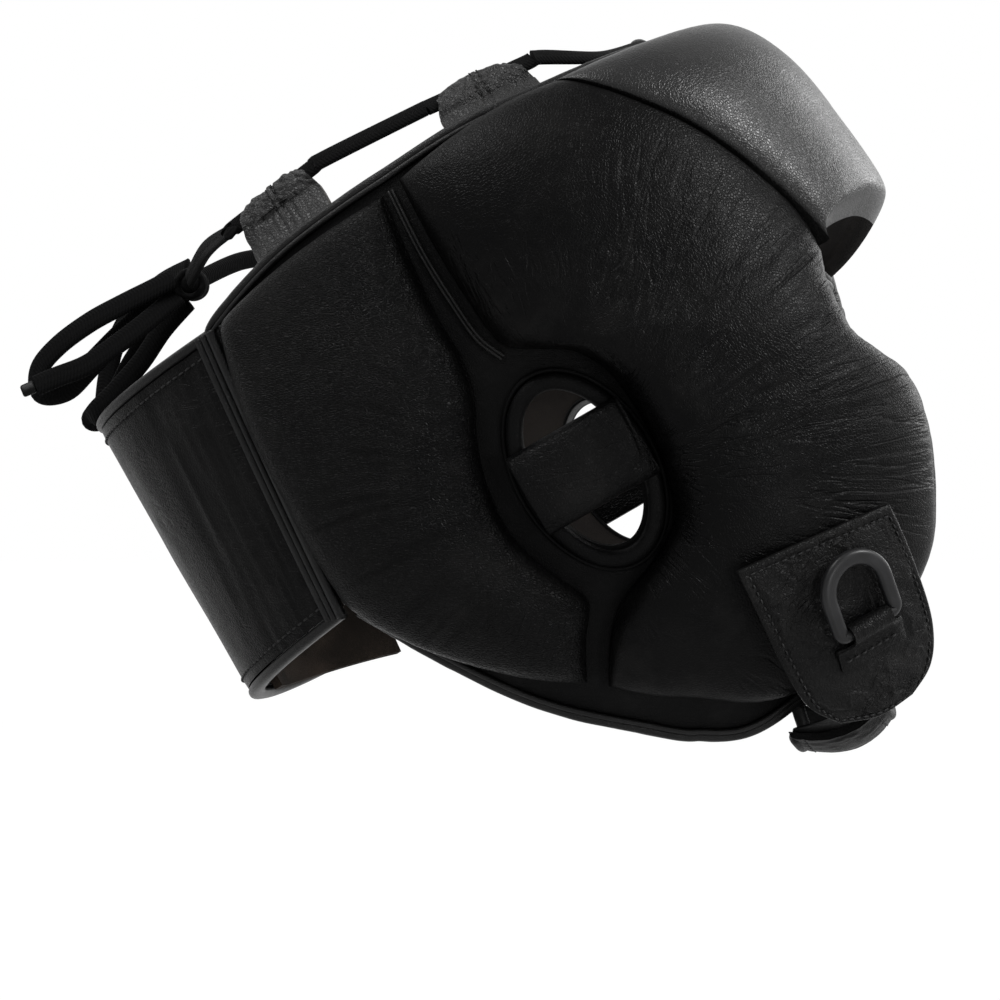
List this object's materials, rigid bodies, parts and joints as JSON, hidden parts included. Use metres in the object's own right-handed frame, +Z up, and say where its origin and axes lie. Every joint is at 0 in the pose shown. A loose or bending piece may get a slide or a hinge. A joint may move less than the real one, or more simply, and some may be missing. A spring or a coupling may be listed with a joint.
{
  "type": "boxing headguard",
  "caption": "Padded leather headguard with cheek and brow pads, open ears, a laced crown, a wrap round rear strap and a chin strap with a pull ring.",
  "frame": {"origin": "middle of the head cavity, midway between the temples at ear height of the brow line", "axes": "+X out of the face, +Y to the wearer's left, +Z up, with the guard pitched 30 degrees nose up from the plane of its crown rim, as the picture shows it worn"},
  "size_m": [0.3104, 0.206, 0.2458],
  "materials": {
    "grain_leather": "satin",
    "smooth_leather": "satin",
    "suede": "matte",
    "foam": "matte",
    "lace": "matte",
    "plastic": "gloss",
    "fastener": "matte"
  },
  "bodies": {
    "root": {"forehead_cover": "grain_leather", "forehead_foam": "foam", "front_backing": "smooth_leather", "front_lining": "suede", "right_cheek_cover": "grain_leather", "right_cheek_foam": "foam", "right_rear_cover": "grain_leather", "right_rear_foam": "foam", "right_backing": "smooth_leather", "right_lining": "suede", "right_ear_ring": "smooth_leather", "right_ear_strap": "grain_leather", "right_channel_strip": "smooth_leather", "left_cheek_cover": "grain_leather", "left_cheek_foam": "foam", "left_rear_cover": "grain_leather", "left_rear_foam": "foam", "left_backing": "smooth_leather", "left_lining": "suede", "left_ear_ring": "smooth_leather", "left_ear_strap": "grain_leather", "left_channel_strip": "smooth_leather", "top_binding": "smooth_leather", "right_low_binding": "smooth_leather", "left_low_binding": "smooth_leather", "right_rear_binding": "smooth_leather", "left_rear_binding": "smooth_leather", "face_binding": "smooth_leather", "right_back_loop": "grain_leather", "right_mid_loop": "grain_leather", "left_back_loop": "grain_leather", "left_mid_loop": "grain_leather", "front_loop": "grain_leather", "crown_lace": "lace", "lace_knot": "lace", "bow_loop_long": "lace", "bow_loop_short": "lace", "lace_end_long": "lace", "lace_end_short": "lace", "lace_tips": "plastic", "rear_under_strap": "suede", "rear_loop_patch": "fastener", "chin_anchor": "grain_leather", "cheek_loop_patch": "fastener"},
    "rear_strap": {"rear_strap": "grain_leather", "rear_strap_top_binding": "smooth_leather", "rear_strap_low_binding": "smooth_leather", "rear_hook_patch": "fastener"},
    "chin_strap": {"chin_strap": "grain_leather"},
    "chin_tab": {"chin_tab": "grain_leather", "tab_hook_patch": "fastener", "ring_keeper": "grain_leather"},
    "pull_ring": {"pull_ring": "plastic"}
  },
  "joints": [
    {"name": "rear_strap_hinge", "type": "hinge", "parent": "root", "child": "rear_strap", "pos_m": [-0.07668, -0.07534, -0.0281], "axis": [-0.4172, -0.0734, 0.9058], "range_deg": [0, 75]},
    {"name": "chin_strap_hinge", "type": "hinge", "parent": "root", "child": "chin_strap", "pos_m": [0.10559, 0.0583, -0.09989], "axis": [0.866, 0, 0.5], "range_deg": [0, 75]},
    {"name": "chin_tab_peel", "type": "hinge", "parent": "chin_strap", "child": "chin_tab", "pos_m": [0.12133, -0.0575, -0.10616], "axis": [0.866, 0, 0.5], "range_deg": [0, 75]},
    {"name": "pull_ring_hinge", "type": "hinge", "parent": "chin_tab", "child": "pull_ring", "pos_m": [0.12, -0.079, -0.07366], "axis": [0.7724, 0.4523, 0.4459], "range_deg": [0, 140]}
  ]
}
